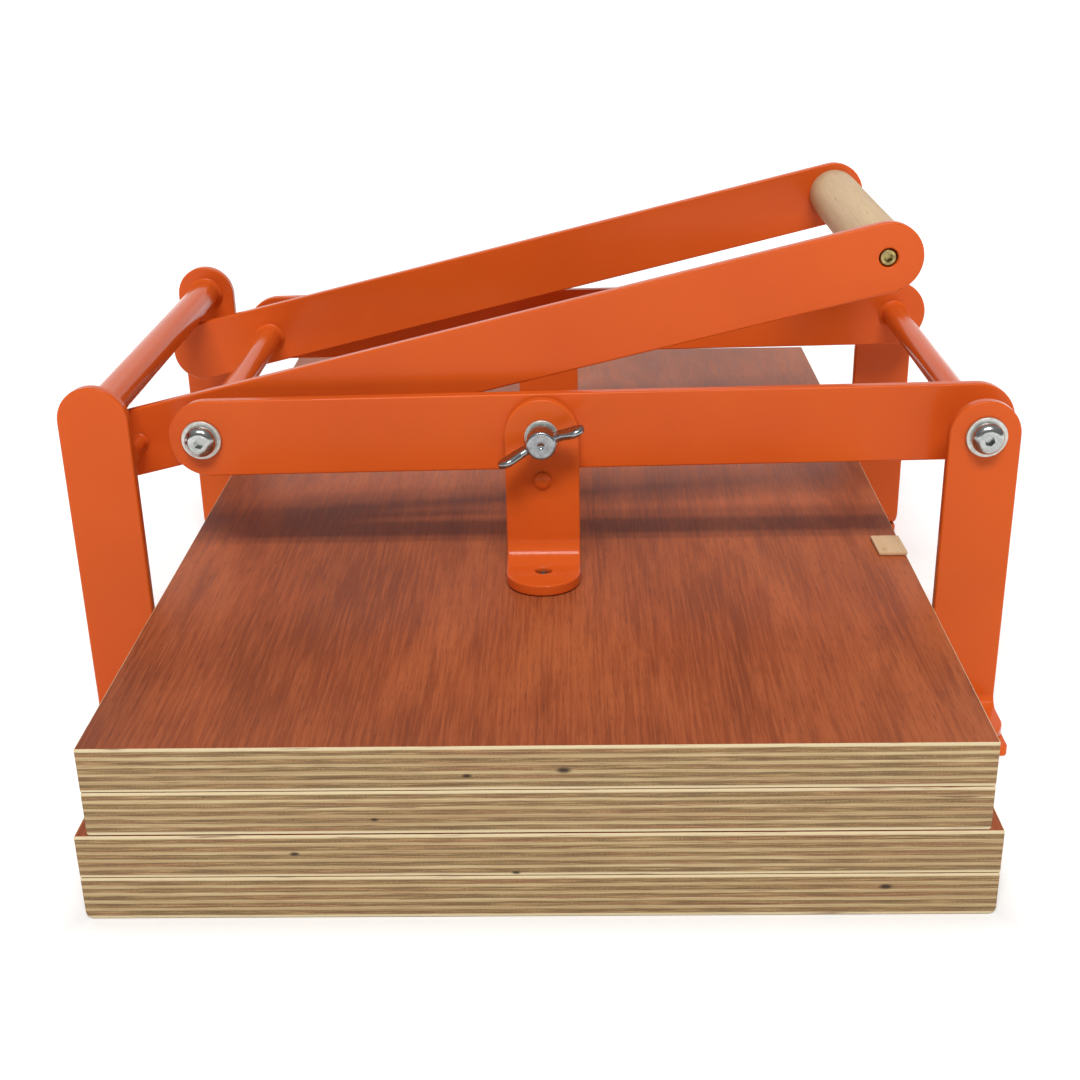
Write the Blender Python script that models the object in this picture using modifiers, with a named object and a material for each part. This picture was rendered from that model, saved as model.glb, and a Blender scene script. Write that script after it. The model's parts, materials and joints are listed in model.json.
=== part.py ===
"""Bookbinding press: two plywood boards, with a lever linkage of flat bar that lifts and presses the upper one.

Metres, +Z up, origin on the ground under the middle of the base board. The front is at -Y, and the rear half
of the linkage mirrors the front one.
"""

import math

import bmesh
import bpy
from mathutils import Euler, Matrix, Vector

MM = 0.001
GAP = 0.3 * MM  # between pieces that touch

# Boards, each two glued sheets
SHEET = 18 * MM
BOARD_LENGTH = 500 * MM
BASE_WIDTH = 336 * MM
PLATEN_WIDTH = 326 * MM
BOARD_GAP = 0.5 * MM
BOARD_CORNER = 3 * MM
BASE_TOP = 2 * SHEET
PLATEN_BOTTOM = BASE_TOP + BOARD_GAP
PLATEN_TOP = PLATEN_BOTTOM + 2 * SHEET
TAB_WIDTH = 12.7 * MM
TAB_LENGTH = 19.5 * MM
TAB_THICKNESS = 1.5 * MM
TAB_Y = -78.2 * MM
STRAP_SCREW_X = 120 * MM

# Flat bar
THICKNESS = 5 * MM
FLAT_WIDTH = 30 * MM
FLAT_RADIUS = FLAT_WIDTH / 2
PRESSURE_BAR_WIDTH = 34 * MM
BEND = 5 * MM  # inner radius
BRACKET_WIDTH = 32 * MM
BRACKET_BEND = 10 * MM

# Distance from the middle plane to the outer face of each layer of flat bar
UPRIGHT_FACE = 111.5 * MM
BRACKET_FACE = 98.3 * MM
PRESSURE_BAR_FACE = 93 * MM
ARM_FACE = 76.5 * MM

# Joint axes, all along Y, as (x, z)
FULCRUM = Vector((-177.5 * MM, 126.7 * MM))
LEVER_PIVOT = Vector((-145.5 * MM, 133.3 * MM))
RIGHT_PIVOT = Vector((186.2 * MM, 136.7 * MM))
PLATEN_PIVOT = Vector((1.4 * MM, 134.8 * MM))

# The lever arms
ARM_SLOPE = math.radians(13.35)
ARM_REACH = 334.6 * MM  # from the fulcrum to the handle
ARM_ALONG = Vector((math.cos(ARM_SLOPE), math.sin(ARM_SLOPE)))
ARM_SETBACK = 5.5 * MM  # the arm's end centre lies this far behind the fulcrum
HANDLE = FULCRUM + ARM_REACH * ARM_ALONG
LEVER_LIFT = math.radians(20)

# Uprights and their straps
UPRIGHT_X = 186 * MM
LEFT_TOP = 162.7 * MM
FOOT_TIP = 140 * MM
STRAP_LENGTH = 402 * MM
STRAP_MIDDLE = 124.5 * MM
GROOVE_DEPTH = THICKNESS + GAP
FOOT_BOTTOM = THICKNESS + GAP
BRACE = Vector((-186 * MM, 148.5 * MM))

# Platen brackets
BRACKET_TIP = 127.5 * MM
BRACKET_SCREW_Y = 111 * MM
BRACKET_STUB_Z = 114.8 * MM

# Round pieces, as radii
PIVOT_BOLT = 4 * MM
PIVOT_HOLE = 4.3 * MM
PLATEN_HOLE = 4.6 * MM
BOLT_HEAD = 6.8 * MM
WASHER = 8.6 * MM
SPACER = 7 * MM
BRACE_ROD = 7.5 * MM
LEVER_ROD = 6 * MM
RIGHT_ROD = 5.9 * MM
WELD = 1.5 * MM
FULCRUM_PIN = 3 * MM
FULCRUM_BUSH = 4.8 * MM
FULCRUM_BUSH_LENGTH = 10 * MM
DOWEL = 12 * MM
FOOT_SCREW = 3 * MM
CLAMP_WASHER = 7.35 * MM
STUD_HEAD = 7 * MM
WING_NUT_BOSS = 6.3 * MM
WING_NUT_FOOT = 5.6 * MM
WING_NUT_LENGTH = 12 * MM
WING_NUT_DEPTH = 9.8 * MM  # of its bore
WING_NUT_TILTS = {"front": math.radians(24.4), "rear": math.radians(205)}
WING_TIP = 15.6 * MM  # from the nut's axis
WING_TIP_RADIUS = 4.3 * MM
WING_ROOT = 5 * MM
WING_THICKNESS = 2.6 * MM

ROUND_STEPS = 20
SMALL_STEPS = 12
ARC_STEPS = 8

SIDES = {"front": -1, "rear": 1}
HANDS = {"left": -1, "right": 1}


# Scene, materials and placing


def empty_scene():
    for obj in list(bpy.data.objects):
        bpy.data.objects.remove(obj)
    for collection in list(bpy.data.collections):
        bpy.data.collections.remove(collection)


def new_collection(name):
    collection = bpy.data.collections.new(name)
    bpy.context.scene.collection.children.link(collection)
    return collection


def new_material(name, color, roughness, metallic=0.0):
    made = bpy.data.materials.new(name)
    made.use_nodes = True
    shader = made.node_tree.nodes["Principled BSDF"]
    shader.inputs["Base Color"].default_value = (*color, 1)
    shader.inputs["Roughness"].default_value = roughness
    shader.inputs["Metallic"].default_value = metallic
    made.diffuse_color = (*color, 1)
    return made


def pivot_empty(name, pivot, parent=None, y=0.0):
    empty = bpy.data.objects.new(name, None)
    empty.empty_display_size = 20 * MM
    parts.objects.link(empty)
    empty.location = (pivot.x, y, pivot.y)
    bpy.context.view_layer.update()
    attach(empty, parent)
    return empty


def attach(obj, parent):
    if parent is None:
        return
    bpy.context.view_layer.update()
    obj.parent = parent
    obj.matrix_parent_inverse = parent.matrix_world.inverted()


def finish(obj, name, slot, body):
    """Names a piece, gives it its material and hangs it on its body's axis."""
    obj.name = name
    obj.data.name = name
    obj.data.materials.clear()
    obj.data.materials.append(materials[slot])
    attach(obj, body)
    return obj


def as_cutter(obj):
    parts.objects.unlink(obj)
    cutters.objects.link(obj)
    obj.hide_render = True
    obj.display_type = "WIRE"
    return obj


def boolean(obj, other, operation="DIFFERENCE"):
    modifier = obj.modifiers.new(f"{operation.lower()} {other.name}", "BOOLEAN")
    modifier.operation = operation
    modifier.solver = "EXACT"
    modifier.object = other


# Outlines


def arc(center, radius, start, end, steps=ARC_STEPS):
    """Points of a circular arc, angles in degrees."""
    angles = [math.radians(start + (end - start) * i / steps) for i in range(steps + 1)]
    return [(center[0] + radius * math.cos(a), center[1] + radius * math.sin(a)) for a in angles]


def circle(center, radius, steps=ROUND_STEPS):
    return arc(center, radius, 0, 360, steps)[:-1]


def capsule(start, end, radius):
    """A straight bar's outline with round ends, from one end's centre to the other's."""
    slope = math.degrees(math.atan2(end[1] - start[1], end[0] - start[0]))
    return arc(start, radius, slope + 90, slope + 270) + arc(end, radius, slope - 90, slope + 90)


def rounded_rectangle(width, height, radius):
    x = width / 2 - radius
    y = height / 2 - radius
    corners = [((x, -y), -90), ((x, y), 0), ((-x, y), 90), ((-x, -y), 180)]
    return [point for center, start in corners for point in arc(center, radius, start, start + 90, 3)]


UPRIGHT_PLANE = Euler((math.pi / 2, 0, 0))  # an outline in X and Z, its thickness along Y
SIDE_PLANE = Euler((math.pi / 2, 0, math.pi / 2))  # an outline in Y and Z, its thickness along X
FLAT_PLANE = Euler((0, 0, 0))  # an outline in X and Y, its thickness along Z


def plate(outline, thickness, location, rotation, holes=()):
    """A filled flat outline with holes, centred on its thickness."""
    curve = bpy.data.curves.new("plate", "CURVE")
    curve.dimensions = "2D"
    curve.fill_mode = "BOTH"
    curve.extrude = thickness / 2
    for points in (outline, *holes):
        spline = curve.splines.new("POLY")
        spline.points.add(len(points) - 1)
        spline.use_cyclic_u = True
        for point, (x, y) in zip(spline.points, points):
            point.co = (x, y, 0, 1)
    obj = bpy.data.objects.new("plate", curve)
    parts.objects.link(obj)
    obj.location = location
    obj.rotation_euler = rotation
    return obj


def as_mesh(obj):
    """Makes a curve a closed mesh that Booleans can cut."""
    bpy.context.view_layer.update()
    graph = bpy.context.evaluated_depsgraph_get()
    mesh = bpy.data.meshes.new_from_object(obj.evaluated_get(graph))
    shape = bmesh.new()
    shape.from_mesh(mesh)
    bmesh.ops.remove_doubles(shape, verts=shape.verts, dist=0.001 * MM)
    bmesh.ops.recalc_face_normals(shape, faces=shape.faces)
    shape.to_mesh(mesh)
    shape.free()
    made = bpy.data.objects.new(obj.name, mesh)
    parts.objects.link(made)
    made.matrix_world = obj.matrix_world.copy()
    bpy.data.objects.remove(obj)
    return made


# Cutters


def round_cutter(radius, depth, location, rotation=(0, 0, 0), sides=ROUND_STEPS):
    shape = bmesh.new()
    bmesh.ops.create_cone(
        shape, cap_ends=True, segments=sides, radius1=radius, radius2=radius, depth=depth
    )
    mesh = bpy.data.meshes.new("round_cutter")
    shape.to_mesh(mesh)
    shape.free()
    obj = bpy.data.objects.new("round_cutter", mesh)
    parts.objects.link(obj)
    obj.location = location
    obj.rotation_euler = rotation
    return as_cutter(obj)


def box_cutter(size, location):
    shape = bmesh.new()
    bmesh.ops.create_cube(shape, size=1)
    bmesh.ops.scale(shape, vec=size, verts=shape.verts)
    mesh = bpy.data.meshes.new("box_cutter")
    shape.to_mesh(mesh)
    shape.free()
    obj = bpy.data.objects.new("box_cutter", mesh)
    parts.objects.link(obj)
    obj.location = location
    return as_cutter(obj)


def end_cutter(radius, location, rotation):
    """Takes the corners off a bar's end: a block with a half round bite, open towards -Y of its outline."""
    margin = 5 * MM
    side = radius + margin
    outline = arc((0, 0), radius, 180, 0, 2 * ARC_STEPS) + [(side, 0), (side, side), (-side, side), (-side, 0)]
    block = plate(outline, 12 * THICKNESS, location, rotation)
    return as_cutter(as_mesh(block))


# Turned pieces. A profile is (radius, distance from the middle plane) pairs down the piece's outer side.


def turned(profile, x, z, side, steps=ROUND_STEPS, closed=False, y=0.0):
    """Turns a profile about an axis along Y, its far end pointing away from the middle plane."""
    mesh = bpy.data.meshes.new("turned")
    points = [(radius, 0, height) for radius, height in profile]
    edges = [(i, i + 1) for i in range(len(points) - 1)]
    if closed:
        edges.append((len(points) - 1, 0))
    mesh.from_pydata(points, edges, [])
    obj = bpy.data.objects.new("turned", mesh)
    parts.objects.link(obj)
    screw = obj.modifiers.new("turn", "SCREW")
    screw.axis = "Z"
    screw.steps = steps
    screw.render_steps = steps
    screw.use_merge_vertices = True
    screw.merge_threshold = 0.001 * MM
    screw.use_smooth_shade = True
    obj.location = (x, y, z)
    obj.rotation_euler = (-side * math.pi / 2, 0, 0)
    return obj


def standing(obj):
    """Turns a turned piece's axis upright."""
    obj.rotation_euler = (0, 0, 0)
    return obj


def ring(inner, outer, near, far, chamfer=0.0):
    """The closed profile of a washer, spacer or bush."""
    if not chamfer:
        return [(outer, far), (outer, near), (inner, near), (inner, far)]
    return [
        (outer - chamfer, far),
        (outer, far - chamfer),
        (outer, near),
        (inner, near),
        (inner, far),
    ]


def button_head(seat, radius, height, shank, shank_end):
    """A button head screw's profile, from the middle of its domed top down to its shank's end."""
    flat = 0.55 * radius
    dome = [
        (flat + (radius - flat) * math.sin(t), seat + 0.3 * height + 0.7 * height * math.cos(t))
        for t in (math.radians(a) for a in (0, 30, 60, 90))
    ]
    top = seat + height
    return [(0, top), *dome, (radius, seat), (shank, seat), (shank, shank_end), (0, shank_end)]


def welded_rod(radius, half_length, bore=0.0, bore_depth=0.0):
    """A rod between two bars, with a weld round each end and, where a bolt goes in, a bored end."""
    collar = radius + WELD
    taper = 3 * MM
    land = 1.5 * MM
    half = [(collar, half_length), (collar, half_length - land), (radius, half_length - land - taper)]
    if bore:
        half = [(0, half_length - bore_depth), (bore, half_length - bore_depth), (bore, half_length), *half]
    else:
        half = [(0, half_length), *half]
    return half + [(r, -h) for r, h in reversed(half)]


# Boards


def board_sheet(name, width, bottom, holed, body):
    """One sheet of a board, half the glue gap short of its nominal thickness where it meets the other."""
    thickness = SHEET - GAP / 2
    middle = (0, 0, bottom + thickness / 2)
    sheet = plate(rounded_rectangle(width, BOARD_LENGTH, BOARD_CORNER), thickness, middle, FLAT_PLANE)
    if holed:
        sheet = as_mesh(sheet)
    return finish(sheet, name, "plywood", body)


def boards():
    half_gap = GAP / 2
    upper_lift = SHEET + half_gap
    board_sheet("base_upper_sheet", BASE_WIDTH, upper_lift, False, None)
    lower = board_sheet("base_lower_sheet", BASE_WIDTH, 0, True, None)
    groove = (STRAP_LENGTH, FLAT_WIDTH + 2 * GAP, 2 * GROOVE_DEPTH)
    for sign in SIDES.values():
        boolean(lower, box_cutter(groove, (0, sign * STRAP_MIDDLE, 0)))
        for hand in HANDS.values():
            place = (hand * STRAP_SCREW_X, sign * STRAP_MIDDLE, 3 * MM)
            boolean(lower, round_cutter(2.6 * MM, 24 * MM, place))

    board_sheet("platen_lower_sheet", PLATEN_WIDTH, PLATEN_BOTTOM, False, platen)
    upper = board_sheet("platen_upper_sheet", PLATEN_WIDTH, PLATEN_BOTTOM + upper_lift, True, platen)
    for sign in SIDES.values():
        place = (PLATEN_PIVOT.x, sign * BRACKET_SCREW_Y, PLATEN_TOP)
        boolean(upper, round_cutter(2.3 * MM, 30 * MM, place))

    tab_x = (PLATEN_WIDTH - TAB_WIDTH) / 2
    tab_z = PLATEN_TOP + GAP + TAB_THICKNESS / 2
    tab = plate(rounded_rectangle(TAB_WIDTH, TAB_LENGTH, 0.8 * MM), TAB_THICKNESS, (tab_x, TAB_Y, tab_z), FLAT_PLANE)
    finish(tab, "edge_tab", "beech", platen)


# Bent flat bar


def bent_bar(x, face, top, foot_bottom, tip, sign, width=FLAT_WIDTH, bend=BEND):
    """An L of flat bar with round ends: upright at the given outer face, with its foot pointing outwards."""
    inner_face = face - THICKNESS
    foot_top = foot_bottom + THICKNESS
    radius = width / 2
    corner = (face + bend, foot_top + bend)
    bend_out = arc(corner, bend, 180, 270, 5)
    bend_in = arc(corner, bend + THICKNESS, 270, 180, 5)
    outline = [(inner_face, top), (face, top), *bend_out, (tip, foot_top), (tip, foot_bottom), *bend_in]
    outline = [(sign * y, z) for y, z in outline]
    bar = as_mesh(plate(outline, width, (x, 0, 0), SIDE_PLANE))
    mid_face = sign * (face - THICKNESS / 2)
    boolean(bar, end_cutter(radius, (x, mid_face, top - radius), UPRIGHT_PLANE))
    outwards = Euler((0, 0, 0 if sign > 0 else math.pi))
    middle_of_foot = foot_bottom + THICKNESS / 2
    boolean(bar, end_cutter(radius, (x, sign * (tip - radius), middle_of_foot), outwards))
    return bar


def along_y_cutter(radius, x, y, z):
    return round_cutter(radius, 4 * THICKNESS, (x, y, z), (math.pi / 2, 0, 0))


def uprights():
    for side, sign in SIDES.items():
        for hand_name, hand in HANDS.items():
            x = hand * UPRIGHT_X
            top = LEFT_TOP if hand_name == "left" else RIGHT_PIVOT.y + FLAT_RADIUS
            bar = bent_bar(x, UPRIGHT_FACE, top, FOOT_BOTTOM, FOOT_TIP, sign)
            if hand_name == "right":
                boolean(bar, along_y_cutter(PIVOT_HOLE, RIGHT_PIVOT.x, sign * UPRIGHT_FACE, RIGHT_PIVOT.y))
            screw_hole = FOOT_SCREW + GAP
            boolean(bar, round_cutter(screw_hole, 4 * THICKNESS, (x, sign * STRAP_MIDDLE, FOOT_BOTTOM)))
            finish(bar, f"upright_{hand_name}_{side}", "orange_paint", None)

            head_seat = FOOT_BOTTOM + THICKNESS + GAP
            profile = button_head(head_seat, 5.2 * MM, 3 * MM, FOOT_SCREW, 0.6 * MM)
            screw = standing(turned(profile, x, 0, sign, SMALL_STEPS, y=sign * STRAP_MIDDLE))
            finish(screw, f"foot_screw_{hand_name}_{side}", "zinc", None)


def straps():
    shank = 2.2 * MM
    head = 4.4 * MM
    clear = GAP
    for side, sign in SIDES.items():
        holes = [circle((hand * UPRIGHT_X, 0), FOOT_SCREW + GAP, SMALL_STEPS) for hand in HANDS.values()]
        outline = rounded_rectangle(STRAP_LENGTH, FLAT_WIDTH, 2 * MM)
        middle = (0, sign * STRAP_MIDDLE, THICKNESS / 2)
        strap = as_mesh(plate(outline, THICKNESS, middle, FLAT_PLANE, holes))
        for hand_name, hand in HANDS.items():
            x = hand * STRAP_SCREW_X
            sink = [(0, 12 * MM), (shank + clear, 12 * MM), (shank + clear, 3 * MM + clear)]
            sink += [(head + clear, 0.3 * MM), (head + clear, -5 * MM), (0, -5 * MM)]
            cutter = standing(turned(sink, x, 0, sign, SMALL_STEPS, y=sign * STRAP_MIDDLE))
            boolean(strap, as_cutter(cutter))
            profile = [(0, 13 * MM), (0.6 * MM, 13 * MM), (shank, 10 * MM), (shank, 2.7 * MM)]
            profile += [(head, 0.4 * MM), (head, 0.2 * MM), (0, 0.2 * MM)]
            screw = standing(turned(profile, x, 0, sign, SMALL_STEPS, y=sign * STRAP_MIDDLE))
            finish(screw, f"strap_screw_{hand_name}_{side}", "zinc", None)
        finish(strap, f"cross_strap_{side}", "orange_paint", None)


def brackets():
    foot_bottom = PLATEN_TOP + GAP
    stub_radius = 3.75 * MM
    screw_hole = 3.5 * MM
    x = PLATEN_PIVOT.x
    top = PLATEN_PIVOT.y + BRACKET_WIDTH / 2
    for side, sign in SIDES.items():
        bar = bent_bar(
            x, BRACKET_FACE, top, foot_bottom, BRACKET_TIP, sign, BRACKET_WIDTH, BRACKET_BEND
        )
        boolean(bar, along_y_cutter(PLATEN_HOLE, x, sign * BRACKET_FACE, PLATEN_PIVOT.y))
        boolean(bar, round_cutter(screw_hole, 4 * THICKNESS, (x, sign * BRACKET_SCREW_Y, foot_bottom)))
        finish(bar, f"platen_bracket_{side}", "orange_paint", platen)

        near = BRACKET_FACE + GAP
        dome = [(0, near + 2 * MM), (2.4 * MM, near + 1.8 * MM), (3.4 * MM, near + 1.2 * MM)]
        profile = [*dome, (stub_radius, near + 0.4 * MM), (stub_radius, near), (0, near)]
        stub = turned(profile, x, BRACKET_STUB_Z, sign, SMALL_STEPS)
        finish(stub, f"bracket_stub_{side}", "orange_paint", platen)

        head = screw_hole - GAP
        head_top = foot_bottom + 4 * MM
        head_bottom = foot_bottom + 1 * MM
        shank = 2 * MM
        recess = [(0, head_top - 1.2 * MM), (1.2 * MM, head_top - 1.2 * MM), (1.6 * MM, head_top - 0.3 * MM)]
        profile = [*recess, (head - 0.3 * MM, head_top), (head, head_top - 0.4 * MM), (head, head_bottom)]
        profile += [(shank, head_bottom - 0.3 * MM), (shank, foot_bottom - 11 * MM), (0, foot_bottom - 13 * MM)]
        screw = standing(turned(profile, x, 0, sign, SMALL_STEPS, y=sign * BRACKET_SCREW_Y))
        finish(screw, f"bracket_screw_{side}", "zinc", platen)


# The linkage


def bar_travel():
    """How far the lever pivot moves along the pressure bar while the lever lifts."""
    turn = Matrix.Rotation(LEVER_LIFT, 2)
    lifted = FULCRUM + turn @ (LEVER_PIVOT - FULCRUM)
    return (lifted - RIGHT_PIVOT).length - (LEVER_PIVOT - RIGHT_PIVOT).length


def pressure_bars():
    radius = PRESSURE_BAR_WIDTH / 2
    middle = PRESSURE_BAR_FACE - THICKNESS / 2
    along = (LEVER_PIVOT - RIGHT_PIVOT).normalized()
    left_center = LEVER_PIVOT - 2.5 * MM * along
    slot_radius = PIVOT_BOLT + 0.4 * MM
    slot = capsule(LEVER_PIVOT + bar_travel() * along, LEVER_PIVOT, slot_radius)
    for side, sign in SIDES.items():
        holes = [slot, circle(RIGHT_PIVOT, PIVOT_HOLE), circle(PLATEN_PIVOT, PIVOT_HOLE)]
        outline = capsule(left_center, RIGHT_PIVOT, radius)
        bar = plate(outline, THICKNESS, (0, sign * middle, 0), UPRIGHT_PLANE, holes)
        finish(bar, f"pressure_bar_{side}", "orange_paint", bars)


def lever_arms():
    middle = ARM_FACE - THICKNESS / 2
    handle_hole = 4 * MM
    for side, sign in SIDES.items():
        holes = [circle(LEVER_PIVOT, PIVOT_HOLE), circle(HANDLE, handle_hole)]
        outline = capsule(FULCRUM - ARM_SETBACK * ARM_ALONG, HANDLE, FLAT_RADIUS)
        arm = plate(outline, THICKNESS, (0, sign * middle, 0), UPRIGHT_PLANE, holes)
        finish(arm, f"lever_arm_{side}", "orange_paint", lever)


def rods():
    between_uprights = UPRIGHT_FACE - THICKNESS - GAP
    between_arms = ARM_FACE - THICKNESS - GAP
    between_bars = PRESSURE_BAR_FACE - THICKNESS - GAP
    brace = turned(welded_rod(BRACE_ROD, between_uprights), BRACE.x, BRACE.y, 1)
    finish(brace, "left_brace_rod", "orange_paint", None)
    lever_rod = welded_rod(LEVER_ROD, between_arms, PIVOT_HOLE, 16 * MM)
    finish(turned(lever_rod, *LEVER_PIVOT, 1), "lever_pivot_rod", "orange_paint", lever)
    right_rod = welded_rod(RIGHT_ROD, between_bars, PIVOT_HOLE, 16 * MM)
    finish(turned(right_rod, *RIGHT_PIVOT, 1), "right_pivot_rod", "orange_paint", bars)

    half = between_arms
    bore = 2.8 * MM
    edge = 0.8 * MM
    end = [(0, half - 30 * MM), (bore, half - 30 * MM), (bore, half), (DOWEL - edge, half), (DOWEL, half - edge)]
    dowel = turned(end + [(r, -h) for r, h in reversed(end)], *HANDLE, 1)
    finish(dowel, "handle_dowel", "beech", lever)


def handle_screws():
    head = 3.6 * MM
    top = ARM_FACE - 0.8 * MM
    recess = [(0, top - 1.8 * MM), (1.6 * MM, top - 1.8 * MM), (1.8 * MM, top)]
    seat = ARM_FACE - THICKNESS
    shank = 2.4 * MM
    profile = [*recess, (head, top), (head, seat + GAP), (shank, seat), (shank, seat - 24 * MM), (0, seat - 28 * MM)]
    for side, sign in SIDES.items():
        screw = turned(profile, *HANDLE, sign, SMALL_STEPS)
        finish(screw, f"handle_screw_{side}", "brass", lever)


def bolt(name, pivot, seat, end, sign, body):
    """A button head bolt with a hexagon socket, its head resting on a washer."""
    height = 4.4 * MM
    obj = turned(button_head(seat, BOLT_HEAD, height, PIVOT_BOLT, end), *pivot, sign)
    socket_y = sign * (seat + height)
    boolean(obj, round_cutter(2.6 * MM, 5.2 * MM, (pivot.x, socket_y, pivot.y), (math.pi / 2, 0, 0), 6))
    finish(obj, name, "zinc", body)


def pivot_hardware():
    washer_thickness = 1.5 * MM
    bar_back = PRESSURE_BAR_FACE - THICKNESS
    upright_back = UPRIGHT_FACE - THICKNESS
    bar_bolt_end = ARM_FACE - THICKNESS - 12 * MM
    right_bolt_end = bar_back - 12 * MM
    for side, sign in SIDES.items():
        near = PRESSURE_BAR_FACE + GAP
        far = near + washer_thickness
        washer = turned(ring(PIVOT_HOLE, WASHER, near, far, 0.3 * MM), *LEVER_PIVOT, sign, closed=True)
        finish(washer, f"left_washer_{side}", "zinc", lever)
        bolt(f"left_bolt_{side}", LEVER_PIVOT, far + GAP, bar_bolt_end, sign, lever)
        spacer = ring(PIVOT_HOLE, SPACER, ARM_FACE + GAP, bar_back - GAP)
        finish(turned(spacer, *LEVER_PIVOT, sign, closed=True), f"left_spacer_{side}", "orange_paint", lever)

        near = UPRIGHT_FACE + GAP
        far = near + washer_thickness
        washer = turned(ring(PIVOT_HOLE, WASHER, near, far, 0.3 * MM), *RIGHT_PIVOT, sign, closed=True)
        finish(washer, f"right_washer_{side}", "zinc", bars)
        bolt(f"right_bolt_{side}", RIGHT_PIVOT, far + GAP, right_bolt_end, sign, bars)
        spacer = ring(PIVOT_HOLE, SPACER, PRESSURE_BAR_FACE + GAP, upright_back - GAP)
        finish(turned(spacer, *RIGHT_PIVOT, sign, closed=True), f"right_spacer_{side}", "orange_paint", bars)


def fulcrums():
    """A short bush stands on each left upright's inner face, and a pin on the arm turns in it."""
    bush_far = UPRIGHT_FACE - THICKNESS - GAP
    bush_near = bush_far - FULCRUM_BUSH_LENGTH
    pin_near = ARM_FACE + GAP
    pin_far = bush_far - 3 * MM
    edge = 0.6 * MM
    for side, sign in SIDES.items():
        bush = ring(FULCRUM_PIN + 0.4 * MM, FULCRUM_BUSH, bush_near, bush_far)
        finish(turned(bush, *FULCRUM, sign, closed=True), f"fulcrum_bush_{side}", "orange_paint", None)
        pin = [(0, pin_far), (FULCRUM_PIN - edge, pin_far), (FULCRUM_PIN, pin_far - edge)]
        pin += [(FULCRUM_PIN, pin_near), (0, pin_near)]
        finish(turned(pin, *FULCRUM, sign), f"fulcrum_pin_{side}", "orange_paint", lever)


# Platen clamps


def wing_nut(name, near, tilt, sign, body):
    """A closed boss with two wings that rise outwards, each a flat blade with a round tip."""
    foot = WING_NUT_FOOT
    boss = WING_NUT_BOSS
    depth = WING_NUT_DEPTH
    bore = PIVOT_HOLE
    far = near + WING_NUT_LENGTH
    edge = 0.7 * MM
    profile = [(0, far), (boss - edge, far), (boss, far - edge), (foot, near + 1 * MM), (foot, near)]
    profile += [(bore, near), (bore, near + depth), (0, near + depth)]
    nut = turned(profile, *PLATEN_PIVOT, sign)
    root = [(WING_ROOT, near + 10.4 * MM), (WING_ROOT, near + 3 * MM), (9.4 * MM, near + 4.6 * MM)]
    blade = root + arc((WING_TIP, near + WING_NUT_LENGTH), WING_TIP_RADIUS, -60, 140, 9)
    nut_turn = Euler((-sign * math.pi / 2, 0, 0)).to_matrix().to_4x4()
    place = Matrix.Translation((PLATEN_PIVOT.x, 0, PLATEN_PIVOT.y)) @ nut_turn
    for turn in (0, math.pi):
        wing = plate(blade, WING_THICKNESS, (0, 0, 0), FLAT_PLANE)
        wing.matrix_world = place @ Matrix.Rotation(tilt + turn, 4, "Z") @ Matrix.Rotation(math.pi / 2, 4, "X")
        boolean(nut, as_cutter(as_mesh(wing)), "UNION")
    return finish(nut, name, "zinc", body)


def platen_clamps():
    inner_face = PRESSURE_BAR_FACE - THICKNESS
    washer_near = BRACKET_FACE + GAP
    washer_far = washer_near + 1.6 * MM
    nut_near = washer_far + GAP
    head_top = inner_face - GAP
    stud_far = nut_near + WING_NUT_DEPTH - 0.5 * MM
    for side, sign in SIDES.items():
        head_bottom = head_top - 3 * MM
        profile = [(0, stud_far), (PIVOT_BOLT - 0.5 * MM, stud_far), (PIVOT_BOLT, stud_far - 0.5 * MM)]
        profile += [(PIVOT_BOLT, head_top), (STUD_HEAD, head_top), (STUD_HEAD, head_bottom + 1 * MM)]
        profile += [(STUD_HEAD - 1 * MM, head_bottom), (0, head_bottom)]
        stud = turned(profile, *PLATEN_PIVOT, sign)
        finish(stud, f"clamp_stud_{side}", "zinc", bars)
        washer = ring(PIVOT_HOLE, CLAMP_WASHER, washer_near, washer_far, 0.3 * MM)
        finish(turned(washer, *PLATEN_PIVOT, sign, closed=True), f"clamp_washer_{side}", "zinc", bars)
        wing_nut(f"wing_nut_{side}", nut_near, WING_NUT_TILTS[side], sign, wing_nut_axes[side])


empty_scene()
parts = new_collection("bookbinding_press")
cutters = new_collection("cutters")
materials = {
    "orange_paint": new_material("orange_paint", (0.72, 0.13, 0.02), 0.38),
    "plywood": new_material("plywood", (0.33, 0.12, 0.06), 0.55),
    "beech": new_material("beech", (0.60, 0.42, 0.24), 0.6),
    "zinc": new_material("zinc", (0.62, 0.61, 0.58), 0.28, 1.0),
    "brass": new_material("brass", (0.60, 0.42, 0.16), 0.35, 1.0),
}
lever = pivot_empty("lever_axis", FULCRUM)
bars = pivot_empty("pressure_bar_axis", RIGHT_PIVOT)
platen = pivot_empty("platen_axis", PLATEN_PIVOT, bars)
wing_nut_axes = {
    side: pivot_empty(f"wing_nut_{side}_axis", PLATEN_PIVOT, bars, sign * BRACKET_FACE)
    for side, sign in SIDES.items()
}
boards()
straps()
uprights()
brackets()
pressure_bars()
lever_arms()
rods()
handle_screws()
pivot_hardware()
fulcrums()
platen_clamps()
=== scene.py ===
"""Bookbinding press: the finished look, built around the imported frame.

Row frame, in metres: +Z up, the front at -Y, the fulcrum uprights at -X. Every frame node gets a finer
piece in its place, with eased edges, weld fillets and a procedural material, that rides the same body.
"""

import json
import math

import bmesh
import bpy
from mathutils import Matrix, Vector


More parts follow.
